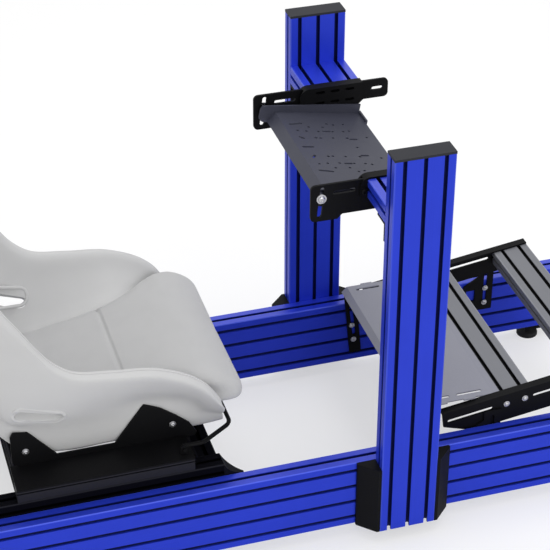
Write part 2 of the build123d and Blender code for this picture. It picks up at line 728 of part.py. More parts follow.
def shell_corners(place, inset):
    """Corners of one cross-section: inset 0 is its outside, more is the hollow, open above."""
    base_x, base_z, ridge_x, ridge_z, base, waist, ridge, waist_rise = place
    rise = math.hypot(ridge_x - base_x, ridge_z - base_z)
    round_in = inset * math.sqrt(0.5)
    half = [
        (base - seat_corner, inset),
        (base - seat_corner / 4 - round_in, seat_corner / 4 + round_in),
        (base - inset, seat_corner),
        (waist - inset, waist_rise),
    ]
    edge = ridge - seat_ridge_wall
    if inset:
        edge -= inset - seat_wall
        half += [(edge, rise - seat_corner / 2), (edge, rise + seat_hollow_above)]
    else:
        half += [(ridge, rise - seat_corner / 2), (ridge - seat_edge_round, rise - seat_edge_round)]
        half += [(edge, rise)]
    other = [(-y, up) for y, up in reversed(half)]
    plane = shell_plane(place)
    return [plane.from_local_coords(corner) for corner in half + other]


def skinned(sections):
    """A solid of flat facets between cross-sections that have as many corners each."""
    facets = [make_face(Polyline(*corners, close=True)) for corners in (sections[0], sections[-1])]
    for first, second in zip(sections, sections[1:]):
        count = len(first)
        for i in range(count):
            a, b, c, d = first[i], first[(i + 1) % count], second[(i + 1) % count], second[i]
            if i in (count // 2 - 1, count - 1):
                pieces = [(a, b, c, d)]
            elif i < count // 2:
                pieces = [(a, b, c), (a, c, d)]
            else:
                pieces = [(a, b, d), (b, c, d)]
            facets += [make_face(Polyline(*corners, close=True)) for corners in pieces]
    return Solid(Shell(facets))


def between(first, second, share):
    return tuple(a + (b - a) * share for a, b in zip(first, second))


def hollow(inset):
    """The space inside the bucket, this far in from every outer face."""
    front, behind = shell_sections[0], shell_sections[1]
    top, below = shell_sections[-1], shell_sections[-2]
    first = between(front, behind, inset / (front[0] - behind[0]))
    last = between(top, below, inset / (top[1] - below[1]))
    places = [first] + shell_sections[1:-1] + [last]
    return skinned([shell_corners(place, inset) for place in places])


def seat():
    """A bucket shell with one wall thickness, a seat cushion and a back pad lying in it."""
    outside = skinned([shell_corners(place, 0) for place in shell_sections])
    half = upright_outer_y
    x, z, length, width, angle = lap_slot
    belt_cut = Pos(0, half, 0) * slot_xz(x, z, length, width, angle, depth=2 * half)
    shell = outside - hollow(seat_wall) - Pos(0, -half, 0) * belt_cut
    nodes["seat_shell"] = shell
    room = hollow(seat_wall + soft_clearance)
    cushion_side = [(seat_split_x, 0), (cushion_top[0][0], 0)] + cushion_top
    nose = sheet_xz(cushion_nose, -nose_half_width, nose_half_width) - outside
    nodes["seat_cushion"] = (room & sheet_xz(cushion_side, -half, half)) + nose
    low_x, high_x = back_pad_front[0][0], back_pad_front[-1][0]
    high_z = back_pad_front[-1][1]
    back_side = [(low_x, 0)] + back_pad_front + [(2 * high_x, high_z), (2 * high_x, 0)]
    nodes["seat_back_pad"] = (room & sheet_xz(back_side, -half, half)) - shell


for make in (base_beams, levelling_feet, uprights, deck_arms, side_plates, wheel_deck, pedal_deck,
             pedal_brackets, heel_plate, seat_base, slide_rails, seat_brackets, release_bar, seat):
    make()

whole = Compound(children=[Compound(part.wrapped) for part in nodes.values()]).bounding_box()
shift = Pos(-(whole.min.X + whole.max.X) / 2, 0, -whole.min.Z)
print("origin is at drawing x", round((whole.min.X + whole.max.X) / 2, 3))
print("size", [round(v, 1) for v in (whole.size.X, whole.size.Y, whole.size.Z)])

os.makedirs("parts", exist_ok=True)
for name, part in nodes.items():
    export_step(shift * part, f"parts/{name}.step")
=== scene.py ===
import json
import math

import bpy
import numpy as np
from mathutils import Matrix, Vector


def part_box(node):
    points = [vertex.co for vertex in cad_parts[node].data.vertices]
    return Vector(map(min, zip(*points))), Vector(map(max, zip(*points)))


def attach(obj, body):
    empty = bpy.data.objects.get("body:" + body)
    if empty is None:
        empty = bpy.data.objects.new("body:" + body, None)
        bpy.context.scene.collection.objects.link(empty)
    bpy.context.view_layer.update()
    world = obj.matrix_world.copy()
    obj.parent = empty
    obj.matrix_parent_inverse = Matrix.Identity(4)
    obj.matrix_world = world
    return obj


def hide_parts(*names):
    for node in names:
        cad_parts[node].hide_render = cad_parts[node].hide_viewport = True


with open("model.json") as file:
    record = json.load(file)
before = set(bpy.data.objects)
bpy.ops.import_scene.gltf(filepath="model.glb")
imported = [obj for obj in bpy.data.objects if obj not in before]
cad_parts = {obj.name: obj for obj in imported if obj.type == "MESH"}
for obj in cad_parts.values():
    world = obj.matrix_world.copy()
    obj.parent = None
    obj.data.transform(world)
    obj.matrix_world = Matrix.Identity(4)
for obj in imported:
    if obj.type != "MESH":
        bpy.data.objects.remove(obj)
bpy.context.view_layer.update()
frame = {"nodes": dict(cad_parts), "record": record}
print("frame loaded,", len(frame["nodes"]), "nodes")

mm = 0.001
sides = (1.0, -1.0)     # left and right, as signs along Y
alongX, alongY, alongZ = 0, 1, 2


def lowOf(node):
    return np.array(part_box(node)[0])


def highOf(node):
    return np.array(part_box(node)[1])


# The rear edge of the uprights: the tables below give X from here, in millimetres.
postX = float(lowOf("upright_left")[0])


# Shader maths: a Link wraps a socket, and arithmetic on it adds Math nodes.
class Link:
    def __init__(self, look, socket):
        self.look = look
        self.socket = socket

    def maths(self, operation, first, second=0.0):
        return self.look.maths(operation, first, second)

    def __add__(self, other):
        return self.maths("ADD", self, other)

    def __sub__(self, other):
        return self.maths("SUBTRACT", self, other)

    def __mul__(self, other):
        return self.maths("MULTIPLY", self, other)

    def __rsub__(self, other):
        return self.maths("SUBTRACT", other, self)

    __radd__ = __add__
    __rmul__ = __mul__

    def size(self):
        return self.maths("ABSOLUTE", self)

    def least(self, other):
        return self.maths("MINIMUM", self, other)

    def most(self, other):
        return self.maths("MAXIMUM", self, other)

    # 0 below start, 1 above end, and a smooth step between
    def step(self, start, end):
        settings = {"interpolation_type": "SMOOTHSTEP"}
        return self.look.node("ShaderNodeMapRange", settings, {0: self, 1: start, 2: end})


# One material: a Principled shader and the nodes that feed it.
class Look:
    def __init__(self, name, **constants):
        self.material = bpy.data.materials.new(name)
        self.material.use_nodes = True
        self.tree = self.material.node_tree
        self.tree.nodes.clear()
        self.output = self.tree.nodes.new("ShaderNodeOutputMaterial")
        self.shader = self.tree.nodes.new("ShaderNodeBsdfPrincipled")
        self.tree.links.new(self.shader.outputs[0], self.output.inputs["Surface"])
        # constants name sockets, with underscores for the spaces
        for socket, value in constants.items():
            self.shader.inputs[socket.replace("_", " ")].default_value = value
        self.object = self.node("ShaderNodeTexCoord", out="Object")

    # one node of a kind: its settings first, then values or links into its sockets
    def node(self, kind, settings=None, values=None, out=0):
        made = self.tree.nodes.new(kind)
        for key, value in (settings or {}).items():
            setattr(made, key, value)
        for key, value in (values or {}).items():
            self.feed(made.inputs[key], value)
        return Link(self, made.outputs[out])

    def maths(self, operation, first, second=0.0):
        return self.node("ShaderNodeMath", {"operation": operation}, {0: first, 1: second})

    def feed(self, socket, value):
        if isinstance(value, Link):
            self.tree.links.new(value.socket, socket)
        else:
            socket.default_value = value

    def set(self, socket, value):
        self.feed(self.shader.inputs[socket], value)

    def mix(self, share, first, second):
        return self.node("ShaderNodeMix", {"data_type": "RGBA"}, {0: share, 6: first, 7: second}, out=2)

    # noise with features of a given size in metres, stretched by a factor on each axis
    def noise(self, size, stretch=(1, 1, 1), detail=3.0, rough=0.55, vector=None):
        place = vector or self.object
        scaled = self.node("ShaderNodeVectorMath", {"operation": "MULTIPLY"},
                           {0: place, 1: tuple(1 / s for s in stretch)})
        values = {"Vector": scaled, "Scale": 1 / size, "Detail": detail, "Roughness": rough}
        return self.node("ShaderNodeTexNoise", None, values)

    def bump(self, height, strength, distance):
        values = {"Strength": strength, "Distance": distance, "Height": height}
        self.set("Normal", self.node("ShaderNodeBump", None, values))

    def parts(self, vector):
        split = self.tree.nodes.new("ShaderNodeSeparateXYZ")
        self.feed(split.inputs[0], vector)
        return [Link(self, split.outputs[i]) for i in range(3)]


def colour(red, green, blue):
    return (red, green, blue, 1.0)


# The same colour made darker or lighter by a factor.
def toned(shade, factor):
    return colour(*(min(1.0, factor * part) for part in shade[:3]))


# Per finish: the colour of the faces, a darker colour painted into the grooves as shade, and a paler
# colour painted on the outer corners as a highlight.
profileValues = {
    "blue": {
        "face": colour(0.019, 0.047, 0.62),
        "groove": colour(0.004, 0.009, 0.110),
        "edge": colour(0.10, 0.15, 0.80),
        "metallic": 0.25,
        "rough": 0.30,
        "gloss": 0.24,
        "sheen": 0.8,       # clear-coat weight on the faces that look up
    },
    "grey": {
        "face": colour(0.20, 0.205, 0.225),
        "groove": colour(0.004, 0.004, 0.005),
        "edge": colour(0.42, 0.43, 0.46),
        "metallic": 0.35,
        "rough": 0.42,
        "gloss": 0.3,
        "sheen": 0.1,
    },
    "black": {
        "face": colour(0.003, 0.003, 0.005),
        "groove": colour(0.001, 0.001, 0.0015),
        "edge": colour(0.03, 0.03, 0.04),
        "metallic": 0.0,
        "rough": 0.48,
        "gloss": 0.02,
        "sheen": 0.0,
    },
}
# Sizes on the extrusion, in metres: depths over which the painted shade in grooves sets in and over which
# lips that look up stop being spared it, reach of the painted highlight on outer corners, and the drawing
# lines.
extrusionValues = {
    "groove": (0.0008, 0.0026),
    "lip": (0.003, 0.008),
    "corner": (0.0006, 0.0035),
    "lineWidth": 0.0012,
    "lineLength": 0.35,
    "cloud": 0.09,
    "sheenRough": 0.38,
}


# Anodised extrusion. The depth below the nearest outer face paints shade into the grooves, save on the
# lips that look up, which keep the lit face colour as painted light; faint lines run along the profile,
# the outer corners get a painted highlight, and faces that look up carry a soft sheen.
def profileLook(name, values, centre, half, along, tilt=0.0):
    sizes, face = extrusionValues, values["face"]
    look = Look(name, Metallic=values["metallic"], Specular_IOR_Level=values["gloss"],
                Coat_Roughness=sizes["sheenRough"])
    fromCentre = look.node("ShaderNodeVectorMath", {"operation": "SUBTRACT"}, {0: look.object, 1: centre})
    turned = look.node("ShaderNodeVectorRotate", {"rotation_type": "Y_AXIS"},
                       {"Vector": fromCentre, "Angle": tilt})
    inside = [size - place.size() for place, size in zip(look.parts(turned), half)]
    across = [inside[i] for i in (alongX, alongY, alongZ) if i != along]
    depth, farther = across[0].least(across[1]), across[0].most(across[1])
    facing = look.parts(look.node("ShaderNodeNewGeometry", out="Normal"))[2]
    # Painted light: lips that look up are spared the painted shade of the grooves and keep the lit face
    # colour.
    lip = facing.step(0.4, 0.8) * (1 - depth.step(*sizes["lip"]))
    # Painted shade in the grooves: the deeper below the outer faces, the darker the colour.
    groove = depth.step(*sizes["groove"]) * (1 - lip * 0.9)
    # Painted highlight along the outer corners, where two outer faces meet.
    corner = 1 - farther.step(*sizes["corner"])
    stretch = [1.0, 1.0, 1.0]
    stretch[along] = sizes["lineLength"] / sizes["lineWidth"]
    lines = look.noise(sizes["lineWidth"], stretch, detail=4.0, vector=turned)
    clouds = look.noise(sizes["cloud"], detail=2.0)
    shade = look.mix(clouds.step(0.3, 0.7) * 0.35, face, toned(face, 0.86))
    shade = look.mix(lines.step(0.35, 0.75) * 0.22, shade, toned(face, 1.25))
    # Paints the highlight on the outer corners and then the shade in the grooves.
    shade = look.mix(corner * 0.55, shade, values["edge"])
    look.set("Base Color", look.mix(groove, shade, values["groove"]))
    look.set("Roughness", values["rough"] + lines * 0.12 + groove * 0.2)
    look.set("Coat Weight", facing.step(0.6, 0.95) * (1 - groove) * values["sheen"])
    look.bump(lines, 0.05, 0.0002)
    return look.material


# Grain is the size of the coat's orange peel or the moulding's texture, in metres.
powderValues = {
    "black": {
        "face": colour(0.0028, 0.0028, 0.0034),
        "pale": colour(0.0070, 0.0070, 0.0082),
        "rough": 0.48,
        "gloss": 0.10,
        "grain": 0.0011,
    },
    "anthracite": {
        "face": colour(0.042, 0.044, 0.066),
        "pale": colour(0.066, 0.068, 0.094),
        "rough": 0.42,
        "gloss": 0.35,
        "grain": 0.0011,
    },
    "heel": {
        "face": colour(0.25, 0.254, 0.30),
        "pale": colour(0.31, 0.314, 0.36),
        "rough": 0.42,
        "gloss": 0.3,
        "grain": 0.0011,
    },
    "plastic": {
        "face": colour(0.013, 0.014, 0.020),
        "pale": colour(0.026, 0.027, 0.034),
        "rough": 0.55,
        "gloss": 0.3,
        "grain": 0.0007,
    },
    "rubber": {
        "face": colour(0.010, 0.010, 0.010),
        "pale": colour(0.022, 0.022, 0.022),
        "rough": 0.75,
        "gloss": 0.35,
        "grain": 0.0011,
    },
}


# Powder coat: a fine orange-peel skin with slightly paler flecks, and a soft cloudiness.
def powderLook(name, values):
    look = Look(name, Specular_IOR_Level=values["gloss"])
    peel = look.noise(values["grain"], detail=2.0)
    clouds = look.noise(0.05, detail=2.0)
    flecks = peel.step(0.45, 0.8) * 0.5 + clouds * 0.3
    look.set("Base Color", look.mix(flecks, values["face"], values["pale"]))
    look.set("Roughness", values["rough"] + peel * 0.14 - clouds * 0.06)
    look.bump(peel, 0.25, 0.00025)
    return look.material


zincValues = {
    "dark": {
        "dull": colour(0.006, 0.006, 0.009),
        "shine": colour(0.020, 0.020, 0.027),
        "metallic": 0.5,
        "rough": 0.40,
    },
    "bright": {
        "dull": colour(0.42, 0.42, 0.44),
        "shine": colour(0.78, 0.78, 0.80),
        "metallic": 1.0,
        "rough": 0.22,
    },
}


# Zinc plate: short brushed streaks along X over a mottled grey.
def zincLook(name, values):
    look = Look(name, Metallic=values["metallic"])
    streaks = look.noise(0.0009, (40, 1, 1))
    mottle = look.noise(0.006)
    look.set("Base Color", look.mix(streaks * 0.6 + mottle * 0.4, values["dull"], values["shine"]))
    look.set("Roughness", values["rough"] + streaks * 0.18)
    look.bump(streaks, 0.08, 0.0002)
    return look.material


shellFinish = {
    "face": colour(0.575, 0.575, 0.575),
    "pale": colour(0.61, 0.61, 0.61),
    "rough": 0.46,
    "gloss": 0.35,
}
fabricFinish = {
    "face": colour(0.56, 0.56, 0.562),
    "dark": colour(0.44, 0.44, 0.442),
    "thread": 0.0011,       # pitch of the knitted loops, in metres
    "rough": 0.85,
    "gloss": 0.2,
    "fuzz": 0.25,           # sheen of the loose fibres
}


# Satin gelcoat: nearly even colour, with faint long ripples in the gloss.
def shellLookOf(name, values):
    look = Look(name, Specular_IOR_Level=values["gloss"])
    clouds = look.noise(0.06)
    grain = look.noise(0.0008, detail=2.0)
    look.set("Base Color", look.mix(clouds, values["face"], values["pale"]))
    look.set("Roughness", values["rough"] + clouds * 0.1)
    look.bump(grain, 0.08, 0.0002)
    return look.material


# Knitted cover: two crossed waves of thread pitch make the loops, darkened between the threads,
# with a slow variation of colour from handling.
def fabricLook(name, values):
    look = Look(name, Sheen_Weight=values["fuzz"], Sheen_Roughness=0.5, Specular_IOR_Level=values["gloss"])
    x, y, z = look.parts(look.object)
    pitch = 2 * math.pi / values["thread"]
    rise = x * 0.8 + z * 0.6
    first = look.maths("SINE", (rise + y) * pitch)
    second = look.maths("SINE", (rise - y) * pitch)
    loops = first * second * 0.5 + 0.5
    fuzz = look.noise(0.0006, detail=2.0)
    clouds = look.noise(0.045)
    between = (1 - loops) * 0.35 + fuzz * 0.15 + clouds.step(0.35, 0.75) * 0.12
    look.set("Base Color", look.mix(between, values["face"], values["dark"]))
    look.set("Roughness", values["rough"] + fuzz * 0.1)
    look.bump(loops * 0.7 + fuzz * 0.3, 0.35, 0.0004)
    return look.material


print("materials")
looks = {
    "black_plastic": powderLook("blackPlastic", powderValues["plastic"]),
    "black_powder_coated_steel": powderLook("blackPowderCoat", powderValues["black"]),
    "anthracite_powder_coated_steel": powderLook("anthracitePowderCoat", powderValues["anthracite"]),
    "heel_plate": powderLook("heelPlateCoat", powderValues["heel"]),
    "dark_zinc_steel": zincLook("darkZinc", zincValues["dark"]),
    "foot_rubber_and_steel": powderLook("footRubber", powderValues["rubber"]),
    "pale_grey_shell": shellLookOf("paleShell", shellFinish),
    "pale_grey_fabric": fabricLook("paleFabric", fabricFinish),
    "bright_zinc": zincLook("brightZinc", zincValues["bright"]),
}
# The finish of each extruded slot, and the axis that each family of its nodes runs along.
extruded = {
    "blue_anodised_aluminium": ("blue", {"base_beam": alongX, "upright": alongZ, "deck_arm": alongY}),
    "black_anodised_aluminium": ("black", {"seat_bar": alongX, "seat_cross_member": alongY}),
    "grey_anodised_aluminium": ("grey", {"pedal_profile": alongY}),
}
# The tilted pedal deck: its rear top edge in millimetres, its tilt in degrees, and half the size
# of a cross profile in metres.
pedalValues = {"start": (160.0, 231.8), "tilt": 8.0, "profileHalf": (0.040, 0.246, 0.020)}
pedalTilt = math.radians(pedalValues["tilt"])


# Every CAD node gets its own look by name, an extrusion's look fitted to its box, or its slot's.
def dressNodes():
    for part in frame["record"]["subparts"]:
        name, slot = part["node"], part["material_slot"]
        if slot in extruded:
            finish, families = extruded[slot]
            along = next(axis for family, axis in families.items() if name.startswith(family))
            low, high = lowOf(name), highOf(name)
            centre, half, tilt = tuple((low + high) / 2), tuple((high - low) / 2), 0.0
            if name.startswith("pedal_profile"):
                half, tilt = pedalValues["profileHalf"], pedalTilt
            made = profileLook(name + "Finish", profileValues[finish], centre, half, along, tilt)
        else:
            made = looks.get(name) or looks[slot]
        mesh = frame["nodes"][name].data
        mesh.materials.clear()
        mesh.materials.append(made)


# Mesh from stacks of closed rings: each ring is joined to the next by four-sided faces, and the two
# end rings are filled, or in a closed band the last is joined to the first. A stack whose faces
# enclose a negative volume is turned round. Faces that meet at more than the sharp angle, in
# degrees, keep their edge.
def skin(name, stacks, material, body, sharp=40.0, closed=False):
    points, faces, start = [], [], 0
    for rings in stacks:
        count, around = rings.shape[:2]
        ids = start + np.arange(count * around).reshape(count, around)
        rows = np.concatenate([ids, ids[:1]]) if closed else ids
        after = np.roll(rows, -1, axis=1)
        quads = np.stack([rows[:-1], after[:-1], after[1:], rows[1:]], axis=-1).reshape(-1, 4)
        flat = rings.reshape(-1, 3)
        centred = flat - flat.mean(axis=0)
        a, b, c, d = (centred[quads[:, k] - start] for k in range(4))
        volume = (a * np.cross(b, c)).sum() + (a * np.cross(c, d)).sum()
        for ring, turn in () if closed else ((ids[0], -1), (ids[-1], 1)):
            rim = centred[ring - start][::turn]
            hub = np.broadcast_to(rim.mean(axis=0), rim.shape)
            volume += (hub * np.cross(rim, np.roll(rim, -1, axis=0))).sum()
        ends = [] if closed else [ids[0][::-1].tolist(), ids[-1].tolist()]
        if volume < 0:
            quads = quads[:, ::-1]
            ends = [end[::-1] for end in ends]
        points.append(flat)
        faces += quads.tolist() + ends
        start += len(flat)
    mesh = bpy.data.meshes.new(name)
    mesh.from_pydata(np.concatenate(points), [], faces)
    mesh.polygons.foreach_set("use_smooth", np.ones(len(mesh.polygons), dtype=bool))
    mesh.set_sharp_from_angle(angle=math.radians(sharp))
    mesh.materials.append(material)
    mesh.update()
    piece = bpy.data.objects.new(name, mesh)
    bpy.context.scene.collection.objects.link(piece)
    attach(piece, body)
    return piece


# A profile of (radius, height) pairs turned about an axis through a place. Where hexagonal is
# set, the radius there follows a hexagon with that distance across its flats.
def turned(place, axis, profile, around=18, hexagonal=()):
    axis = np.array(axis, float) / np.linalg.norm(axis)
    helper = np.array([0.0, 0.0, 1.0]) if abs(axis[2]) < 0.9 else np.array([1.0, 0.0, 0.0])
    side = np.cross(helper, axis)
    side /= np.linalg.norm(side)
    other = np.cross(axis, side)
    angle = np.arange(around) * 2 * math.pi / around
    flats = math.cos(math.pi / 6) / np.cos((angle + math.pi / 6) % (math.pi / 3) - math.pi / 6)
    rings = []
    for index, (radius, height) in enumerate(profile):
        reach = radius * (flats if index in hexagonal else np.ones(around))
        ring = np.outer(reach * np.cos(angle), side) + np.outer(reach * np.sin(angle), other)
        rings.append(np.array(place) + ring + height * axis)
    return np.array(rings)


# Radii and heights of a bolt and its washer, in millimetres.
boltValues = {
    "head": 5.6,
    "rise": 3.4,
    "socket": 2.5,
    "socketDepth": 2.2,
    "washer": 8.0,
    "washerThickness": 1.4,
}


# Button-head bolt with a hexagonal socket, on a washer: two turned profiles. The head's dome is a
# quarter of an ellipse from its rim to the socket.
def bolt(place, axis, scale=1.0):
    v = {key: value * mm * scale for key, value in boltValues.items()}
    base = v["washerThickness"]
    washer = [(v["washer"] * 0.55, 0.0), (v["washer"] * 0.97, 0.0), (v["washer"], base * 0.2),
              (v["washer"], base * 0.8), (v["washer"] * 0.97, base), (v["washer"] * 0.55, base)]
    arc = np.linspace(0, math.pi / 2, 6)
    dome = [(v["socket"] * 1.25 + (v["head"] - v["socket"] * 1.25) * math.cos(a),
             base + v["rise"] * (0.25 + 0.75 * math.sin(a))) for a in arc]
    head = [(v["head"] * 0.97, base)] + dome
    socketTop, socketFloor = base + v["rise"], base + v["rise"] - v["socketDepth"]
    hexagonal = (len(head), len(head) + 1)
    head += [(v["socket"], socketTop), (v["socket"], socketFloor), (v["socket"] * 0.3, socketFloor)]
    return [turned(place, axis, washer), turned(place, axis, head, hexagonal=hexagonal)]


print("pieces")
dressNodes()


# Bolts on a pair of mirrored faces: (x, z) in millimetres from the uprights' rear edge and the
# floor, on a face at a distance |Y| from the centre plane, heads pointing outwards or inwards.
def boltPair(places, faceY, outward=1.0, scale=1.0):
    stacks = []
    for sign in sides:
        for x, z in places:
            stacks += bolt((postX + x * mm, sign * faceY, z * mm), (0.0, sign * outward, 0.0), scale)
    return stacks


# Distances of a left-hand node's outer and inner faces from the centre plane.
def outerY(node):
    return float(highOf(node)[1])


def innerY(node):
    return float(lowOf(node)[1])


# Places of the fasteners, in millimetres from the uprights' rear edge and the floor. Those on the
# pedal rails are given along the tilted rail and below its top edge, those under the arms by their
# X and their height over the plate's lower edge.
fastenerValues = {
    "deckTilt": [(-90.5, 760.5)],
    "deckPivot": [(-7.0, 765.5)],
    "deckPlate": [(135.7, 765.0)],
    "seatBracket": [(-390.6, 281.0), (-687.0, 280.0)],
    "seatBracketY": 177.0,
    "pedalRail": [(141.0, 20.0), (182.0, 20.0), (336.0, 20.0), (376.0, 20.0)],
    "pedalBracket": [(271.0, 130.0), (271.0, 170.0), (465.0, 130.0), (465.0, 170.0)],
    "heelBracket": [(142.3, 90.0), (137.4, 130.0)],
    "armBracket": [20.0, 60.0, 100.0],
    "armBracketRise": 20.0,
    "sheet": 4.0,           # thickness of the folded sheet
}


def addFasteners():
    v, inwards = fastenerValues, -1.0
    plateY, saddleY = outerY("deck_side_plate_left"), outerY("deck_saddle_left")
    tilt = boltPair(v["deckTilt"], plateY, scale=1.25)
    pivot = boltPair(v["deckPivot"], saddleY, scale=1.1) + boltPair(v["deckPlate"], plateY, scale=0.7)
    seat = boltPair(v["seatBracket"], v["seatBracketY"] * mm, scale=0.9)
    startX, startZ = pedalValues["start"]
    c, s = math.cos(pedalTilt), math.sin(pedalTilt)
    rail = [(startX + u * c + down * s, startZ + u * s - down * c) for u, down in v["pedalRail"]]
    pedal = boltPair(rail, outerY("pedal_side_rail_left"), scale=0.85)
    pedal += boltPair(v["pedalBracket"], innerY("pedal_brackets_left"), inwards, 0.85)
    heel = boltPair(v["heelBracket"], outerY("heel_bracket_left") - v["sheet"] * mm, inwards, 0.85)
    height = float(lowOf("arm_bracket_left")[2]) / mm + v["armBracketRise"]
    arm = boltPair([(x, height) for x in v["armBracket"]],
                   outerY("arm_bracket_left") - v["sheet"] * mm, inwards)
    bright, black = looks["bright_zinc"], looks["black_powder_coated_steel"]
    for name, stacks, material, body in (("deckTiltBolts", tilt, bright, "frame"),
                                         ("deckPivotBolts", pivot, black, "frame"),
                                         ("seatBracketBolts", seat, bright, "seat_carriage"),
                                         ("pedalBolts", pedal, bright, "frame"),
                                         ("heelBracketBolts", heel, bright, "frame"),
                                         ("armBracketBolts", arm, black, "frame")):
        skin(name, stacks, material, body)


addFasteners()


# A curve through values given at knots: cubic pieces whose slopes are central differences.
def through(knots, values, at):
    knots, values, at = (np.asarray(part, float) for part in (knots, values, at))
    slopes = np.gradient(values, knots, axis=0)
    k = np.clip(np.searchsorted(knots, at, side="right") - 1, 0, len(knots) - 2)
    span = knots[k + 1] - knots[k]
    t = ((at - knots[k]) / span)[:, None]
    span = span[:, None]
    return ((2 * t**3 - 3 * t**2 + 1) * values[k] + (t**3 - 2 * t**2 + t) * span * slopes[k]
            + (3 * t**2 - 2 * t**3) * values[k + 1] + (t**3 - t**2) * span * slopes[k + 1])


# Seat shell stations from the front edge, under the hips and up to the head, in millimetres from
# the uprights' rear edge and the floor: base x, z; ridge x, z; half widths at base, waist and
# ridge; rise of the waist above the base; rise and half width of the lining beside the pads; rise
# of the floor under them.
shellValues = {
    "stations": [
        (-283, 247, -301, 352, 164, 180, 224, 43, 62, 156, 58),
        (-316, 247, -326, 394, 167, 184, 230, 60, 72, 158, 50),
        (-352, 247, -350, 418, 168, 179, 231, 82, 108, 158, 42),
        (-430, 247, -425, 456, 170, 174, 231, 100, 128, 150, 22),
        (-520, 247, -516, 470, 170, 190, 231, 112, 105, 146, 10),
        (-610, 247, -590, 484, 170, 202, 231, 122, 89, 144, 9),
        (-685, 262, -628, 514, 168, 203, 231, 114, 80, 142, 9),
        (-735, 310, -652, 547, 166, 200, 232, 72, 108, 142, 9),
        (-775, 410, -680, 594, 172, 200, 233, 60, 93, 146, 9),
        (-812, 525, -712, 648, 178, 205, 236, 55, 74, 156, 9),
        (-880, 730, -785, 790, 190, 225, 246, 45, 55, 172, 9),
        (-925, 865, -822, 905, 212, 245, 264, 40, 49, 176, 9),
        (-950, 940, -866, 972, 178, 200, 215, 34, 42, 140, 9),
        (-985, 1046, -942, 1062, 104, 114, 122, 18, 24, 80, 8),
    ],
    "padding": 24.0,        # thickness of the padded rim
    "rim": 20.0,            # how far down the rim's rounding reaches
    "endRadius": 4.0,       # rounding of the front and top ends
    "along": 150,           # rings from the front to the head
    "around": 72,           # points from the middle of the underside to the middle of the inside
    "outerWall": 0.36,      # shares of those points: where the outer wall ends,
    "ridge": 0.43,          # where the piping lies on the rim,
    "innerWall": (0.52, 0.76),      # and where the lining starts and ends
    "welt": 1.4,            # radius of the piping
}
# Belt slots: middle x, z, length, width and turn of the outline; the distance from the centre plane
# at which that middle is given; how much a slot climbs on its way inwards; the distances its cutter
# runs between; and the edging's profile as (distance from the outline, height over the wall).
slotValues = {
    "outline": (-659.0, 380.0, 98.0, 30.0, -20.0),
    "givenAt": 205.0,
    "climb": 0.85,
    "cut": (135.0, 300.0),
    "edging": [(0.4, -4.0), (0.2, 1.0), (1.3, 2.0), (4.6, 1.8), (6.6, 0.9), (7.4, -1.0), (6.8, -4.0)],
    "edgingAt": 5.0,        # how far outside the outline the edging meets the wall
}


# Section corners at every station, as (y, up) pairs in millimetres from the middle of the
# underside, out and up the outer wall, over the rounded rim, down the padded inner wall, in a
# hollow curve to the lining beside the pad, and down into the pocket that holds the pad. Where the
# walls are low the rim gets thinner with them.
def shellSections(stations, v):
    base, waist, ridge, waistRise, lining, edge, floor = stations[:, 4:11].T
    rise = np.hypot(stations[:, 2] - stations[:, 0], stations[:, 3] - stations[:, 1])
    small = np.clip(rise / 130, 0.3, 1.0)
    rim, pad = v["rim"] * small, v["padding"] * small
    top = rise - rim
    middle = (waistRise + top) / 2
    inside, near = ridge - pad, edge + 9
    half = [
        (0, 0),
        (0.5 * base, 0),
        (base - 28, 0.5),
        (base - 7, 7),
        (base, 26 * small),
        (0.75 * base + 0.25 * waist, (26 * small + waistRise) / 2),
        (waist + 1, waistRise),
        (0.45 * waist + 0.55 * ridge + 2, middle),
        (ridge, top),
        (ridge - 0.1 * pad, rise - 0.4 * rim),
        (ridge - 0.42 * pad, rise),
        (ridge - 0.8 * pad, rise - 0.3 * rim),
        (inside - 1, top),
        (0.85 * inside + 0.15 * near, top - 0.25 * (top - lining)),
        (0.64 * inside + 0.36 * near, top - 0.52 * (top - lining)),
        (0.36 * inside + 0.64 * near, top - 0.78 * (top - lining)),
        (near + 3, lining + 0.06 * (top - lining)),
        (edge, lining),
        (edge - 7, lining - 2),
        (edge - 11, lining - 0.3 * (lining - floor)),
        (edge - 14, floor + 0.25 * (lining - floor)),
        (edge - 22, floor),
        (0.5 * edge, floor),
        (0, floor),
    ]
    corners = [np.broadcast_arrays(y, up, base)[:2] for y, up in half]
    return np.array(corners, float).transpose(2, 0, 1)


# The bucket: the stations' numbers and the section corners are both carried by smooth curves, so
# a point is base + up times the direction from base to ridge, and y across. The first and last
# sections are drawn in a little before they are filled, so that the ends have a round edge.
def shellRings(v):
    stations = np.array(v["stations"], float)
    steps = np.hypot(*np.diff((stations[:, 0:2] + stations[:, 2:4]) / 2, axis=0).T)
    knots = np.concatenate([[0.0], np.cumsum(steps)])
    smooth = through(knots, stations, np.linspace(0, knots[-1], v["along"]))
    corners = shellSections(smooth, v)
    count = corners.shape[1]
    weights = through(np.arange(count), np.eye(count), np.linspace(0, count - 1, v["around"]))
    half = np.einsum("sc,ucd->usd", weights, corners)
    other = half[:, -2:0:-1] * np.array([-1.0, 1.0])
    loop = np.concatenate([half, other], axis=1)
    toRidge = smooth[:, 2:4] - smooth[:, 0:2]
    toRidge /= np.linalg.norm(toRidge, axis=1)[:, None]
    x = smooth[:, 0, None] + loop[..., 1] * toRidge[:, 0, None]
    z = smooth[:, 1, None] + loop[..., 1] * toRidge[:, 1, None]
    rings = np.stack([x * mm + postX, loop[..., 0] * mm, z * mm], axis=-1)
    front, rear = roundedEnd(rings[0], rings[1], v), roundedEnd(rings[-1], rings[-2], v)
    return rings, np.concatenate([front[::-1], rings, rear])


